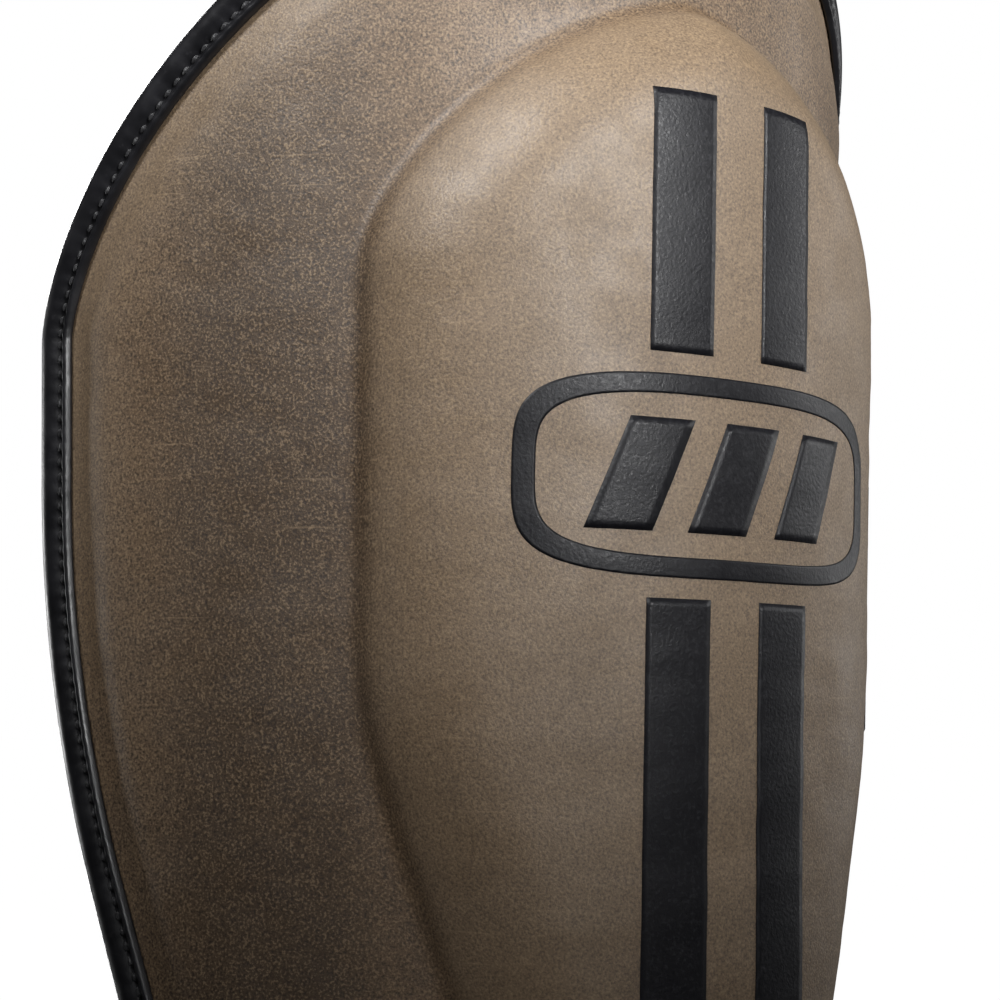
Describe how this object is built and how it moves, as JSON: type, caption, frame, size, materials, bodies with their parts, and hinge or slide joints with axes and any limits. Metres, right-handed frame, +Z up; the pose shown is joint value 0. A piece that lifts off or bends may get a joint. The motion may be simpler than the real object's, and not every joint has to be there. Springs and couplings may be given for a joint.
{
  "type": "forearm guard",
  "caption": "Curved padded forearm guard with a moulded leather face, a raised domed ridge, a bound rim and elastic straps with hook and loop tabs.",
  "frame": {"origin": "on the forearm's axis, level with the wrist edge", "axes": "+Z up the forearm from the wrist edge to the elbow end; the crown of the guard faces -Y; +X is on the right as seen from the front"},
  "size_m": [0.1425, 0.0927, 0.2672],
  "materials": {
    "cover_leather": "waxed vintage-look leather, soft speckle",
    "foam": "closed-cell foam, matte",
    "firm_foam": "firm EVA sheet, matte",
    "lining_nylon": "black knitted nylon lining",
    "binding_leather": "black satin folded binding",
    "thread": "black polyester thread",
    "print": "satin black print",
    "elastic": "black ribbed elastic webbing",
    "loop_fabric": "black loop pile",
    "hook_fabric": "black moulded hooks",
    "tape": "black woven tape"
  },
  "bodies": {
    "shell": {"front_cover": "cover_leather", "ridge_pad": "foam", "impact_sheet": "firm_foam", "base_foam": "foam", "back_lining": "lining_nylon", "edge_binding": "binding_leather", "binding_stitches_front": "thread", "binding_stitches_back": "thread", "stripe_upper_left": "print", "stripe_upper_right": "print", "stripe_lower_left": "print", "stripe_lower_right": "print", "emblem": "print", "upper_strap_anchor": "elastic", "upper_anchor_patch": "tape", "upper_anchor_stitches": "thread", "upper_loop_patch": "loop_fabric", "upper_loop_stitches": "thread", "lower_strap_anchor": "elastic", "lower_anchor_patch": "tape", "lower_anchor_stitches": "thread", "lower_loop_patch": "loop_fabric", "lower_loop_stitches": "thread"},
    "upper_near": {"upper_strap_near": "elastic"},
    "upper_far": {"upper_strap_far": "elastic"},
    "upper_tab": {"upper_strap_tab": "elastic", "upper_hook_patch": "hook_fabric", "upper_pull_tab": "tape", "upper_tab_stitches": "thread"},
    "lower_near": {"lower_strap_near": "elastic"},
    "lower_far": {"lower_strap_far": "elastic"},
    "lower_tab": {"lower_strap_tab": "elastic", "lower_hook_patch": "hook_fabric", "lower_pull_tab": "tape", "lower_tab_stitches": "thread"}
  },
  "joints": [
    {"name": "upper_strap_swing", "type": "hinge", "parent": "shell", "child": "upper_near", "pos_m": [-0.06115, 0.00098, 0.1565], "axis": [-0.0608, 0.1013, 0.993], "range_deg": [0, 50]},
    {"name": "upper_strap_flex", "type": "hinge", "parent": "upper_near", "child": "upper_far", "pos_m": [0.00631, 0.01789, 0.1565], "axis": [-0.0025, 0.0596, 0.9982], "range_deg": [0, 20]},
    {"name": "upper_tab_peel", "type": "hinge", "parent": "upper_far", "child": "upper_tab", "pos_m": [0.07195, -0.00515, 0.1565], "axis": [0.0325, 0.0186, 0.9993], "range_deg": [0, 120]},
    {"name": "lower_strap_swing", "type": "hinge", "parent": "shell", "child": "lower_near", "pos_m": [-0.04528, -0.02579, 0.059], "axis": [-0.026, 0.0061, 0.9996], "range_deg": [0, 50]},
    {"name": "lower_strap_flex", "type": "hinge", "parent": "lower_near", "child": "lower_far", "pos_m": [0.00722, 0.00153, 0.059], "axis": [0, 0.0075, 1], "range_deg": [0, 20]},
    {"name": "lower_tab_peel", "type": "hinge", "parent": "lower_far", "child": "lower_tab", "pos_m": [0.05899, -0.02714, 0.059], "axis": [0.0278, 0.0089, 0.9996], "range_deg": [0, 120]}
  ],
  "couplings": [
    {"joint": "upper_strap_flex", "follows": "upper_strap_swing", "ratio": 0.4},
    {"joint": "upper_tab_peel", "follows": "upper_strap_swing", "ratio": 2.4},
    {"joint": "lower_strap_flex", "follows": "lower_strap_swing", "ratio": 0.4},
    {"joint": "lower_tab_peel", "follows": "lower_strap_swing", "ratio": 2.4}
  ]
}
